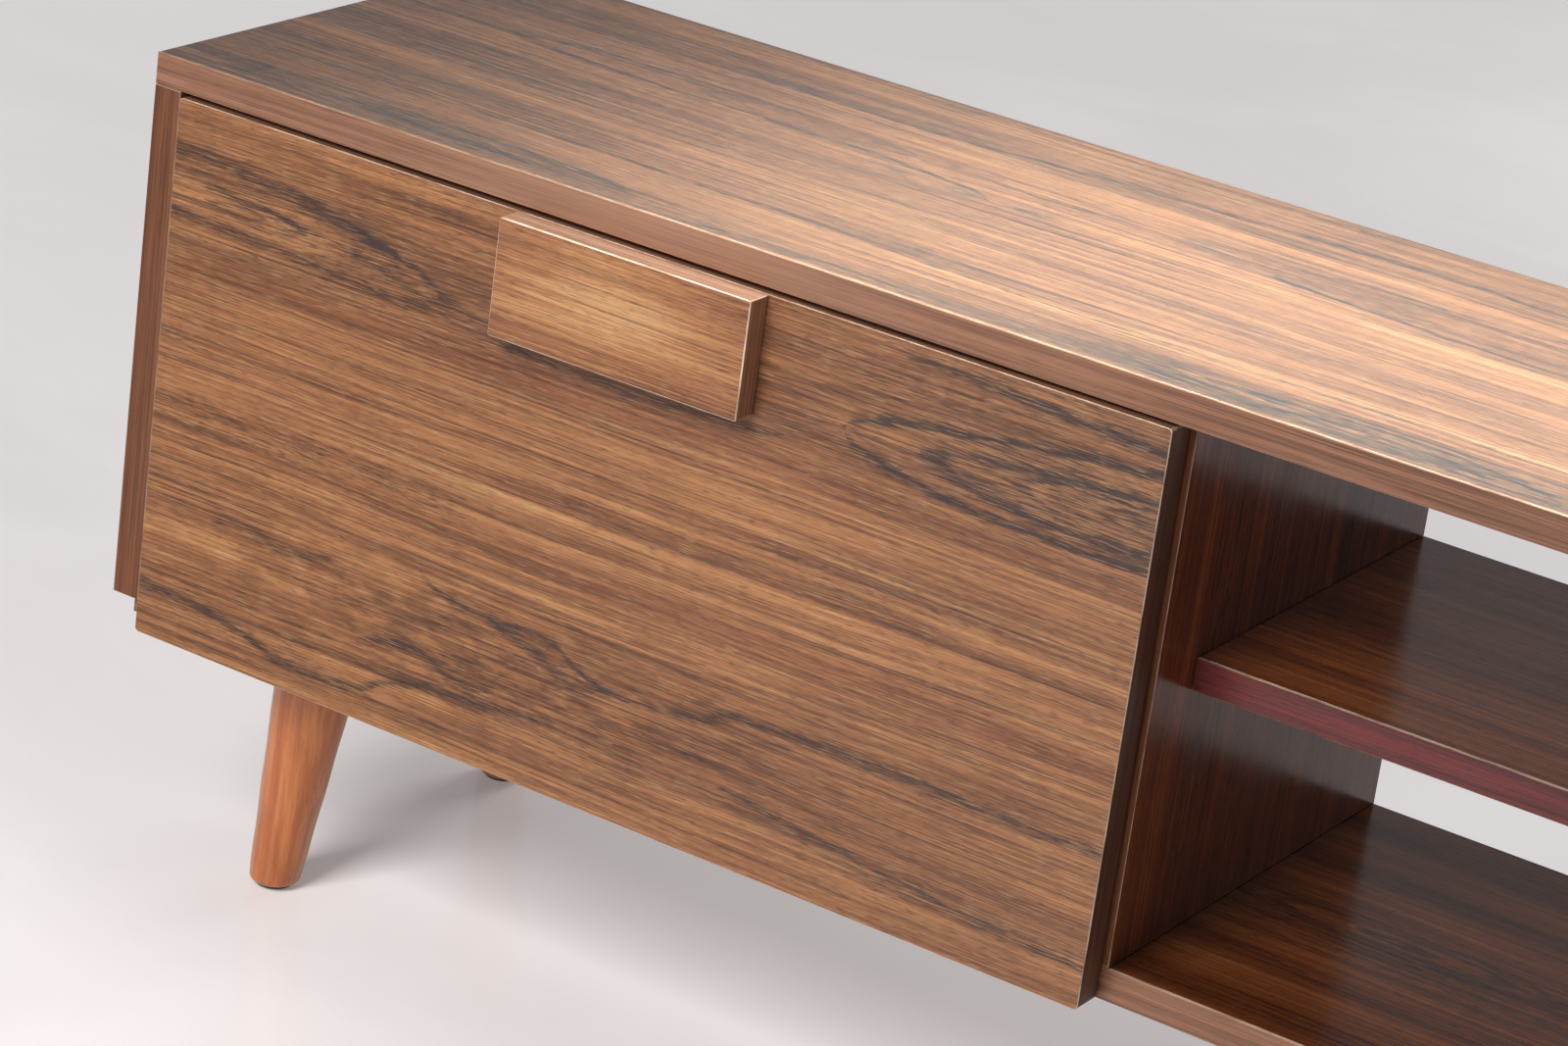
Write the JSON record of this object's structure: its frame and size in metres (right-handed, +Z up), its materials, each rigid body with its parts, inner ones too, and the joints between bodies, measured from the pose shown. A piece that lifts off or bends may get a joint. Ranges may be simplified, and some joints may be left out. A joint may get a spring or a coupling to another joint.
{
  "type": "media console cabinet",
  "caption": "Long low media cabinet in woodgrain laminate with drop-front flaps, an open centre bay with a shelf, and splayed turned legs.",
  "frame": {"origin": "on the floor, under the centre of the bounding box", "axes": "+X along the cabinet's length, to the right of a person facing its front; +Y to the back, so the flaps face -Y; +Z up"},
  "size_m": [1.6, 0.285, 0.41],
  "materials": {
    "laminate_board": "satin printed walnut laminate, grain along the board",
    "edge_band": "satin wood-print edge banding",
    "red_edge_band": "satin mahogany-print edge banding",
    "hardboard": "brown pressed hardboard",
    "stained_leg": "stained and lacquered solid wood",
    "zinc_steel": "zinc-plated steel",
    "nickel_hinge": "nickel-plated steel",
    "dark_nylon": "dark brown moulded nylon",
    "beech_dowel": "plain beech"
  },
  "bodies": {
    "cabinet": {"top_panel": "laminate_board", "bottom_panel": "laminate_board", "side_left": "laminate_board", "side_right": "laminate_board", "divider_left": "laminate_board", "divider_right": "laminate_board", "centre_shelf": "laminate_board", "top_front_band": "edge_band", "bottom_front_band": "edge_band", "shelf_front_band": "red_edge_band", "back_left": "hardboard", "back_right": "hardboard", "leg_front_left": "stained_leg", "leg_front_right": "stained_leg", "leg_rear_left": "stained_leg", "leg_rear_right": "stained_leg", "leg_plate_front_left": "zinc_steel", "leg_plate_front_right": "zinc_steel", "leg_plate_rear_left": "zinc_steel", "leg_plate_rear_right": "zinc_steel", "leg_bolt_front_left": "zinc_steel", "leg_bolt_front_right": "zinc_steel", "leg_bolt_rear_left": "zinc_steel", "leg_bolt_rear_right": "zinc_steel", "stay_bracket_left": "zinc_steel", "stay_bracket_right": "zinc_steel", "hinge_leaf_fixed_left": "nickel_hinge", "hinge_leaf_fixed_right": "nickel_hinge", "hinge_pin_left": "nickel_hinge", "hinge_pin_right": "nickel_hinge", "leg_glide_front_left": "dark_nylon", "leg_glide_front_right": "dark_nylon", "leg_glide_rear_left": "dark_nylon", "leg_glide_rear_right": "dark_nylon", "catch_magnet_left": "dark_nylon", "catch_magnet_right": "dark_nylon", "shelf_dowel_front_left": "beech_dowel", "shelf_dowel_front_right": "beech_dowel", "shelf_dowel_rear_left": "beech_dowel", "shelf_dowel_rear_right": "beech_dowel"},
    "flap_left": {"door_left": "laminate_board", "handle_left": "laminate_board", "handle_screw_inner_left": "zinc_steel", "handle_screw_outer_left": "zinc_steel", "hinge_leaf_moving_left": "nickel_hinge", "catch_strike_left": "zinc_steel", "stay_foot_left": "zinc_steel"},
    "stay_arm_left": {"stay_arm_left": "zinc_steel"},
    "stay_link_left": {"stay_link_left": "zinc_steel"},
    "flap_right": {"door_right": "laminate_board", "handle_right": "laminate_board", "handle_screw_inner_right": "zinc_steel", "handle_screw_outer_right": "zinc_steel", "hinge_leaf_moving_right": "nickel_hinge", "catch_strike_right": "zinc_steel", "stay_foot_right": "zinc_steel"},
    "stay_arm_right": {"stay_arm_right": "zinc_steel"},
    "stay_link_right": {"stay_link_right": "zinc_steel"}
  },
  "joints": [
    {"name": "flap_hinge_left", "type": "hinge", "parent": "cabinet", "child": "flap_left", "pos_m": [-0.5215, -0.11175, 0.1246], "axis": [1, 0, 0], "range_deg": [0, 90]},
    {"name": "stay_arm_pivot_left", "type": "hinge", "parent": "cabinet", "child": "stay_arm_left", "pos_m": [-0.782, -0.03375, 0.1866], "axis": [1, 0, 0], "range_deg": [0, 90]},
    {"name": "stay_link_pivot_left", "type": "hinge", "parent": "flap_left", "child": "stay_link_left", "pos_m": [-0.7796, -0.09975, 0.2396], "axis": [1, 0, 0], "range_deg": [-90, 0]},
    {"name": "flap_hinge_right", "type": "hinge", "parent": "cabinet", "child": "flap_right", "pos_m": [0.5215, -0.11175, 0.1246], "axis": [1, 0, 0], "range_deg": [0, 90]},
    {"name": "stay_arm_pivot_right", "type": "hinge", "parent": "cabinet", "child": "stay_arm_right", "pos_m": [0.782, -0.03375, 0.1866], "axis": [1, 0, 0], "range_deg": [0, 90]},
    {"name": "stay_link_pivot_right", "type": "hinge", "parent": "flap_right", "child": "stay_link_right", "pos_m": [0.7796, -0.09975, 0.2396], "axis": [1, 0, 0], "range_deg": [-90, 0]}
  ],
  "couplings": [
    {"joint": "stay_arm_pivot_left", "follows": "flap_hinge_left", "ratio": 1},
    {"joint": "stay_link_pivot_left", "follows": "flap_hinge_left", "ratio": -1},
    {"joint": "stay_arm_pivot_right", "follows": "flap_hinge_right", "ratio": 1},
    {"joint": "stay_link_pivot_right", "follows": "flap_hinge_right", "ratio": -1}
  ]
}
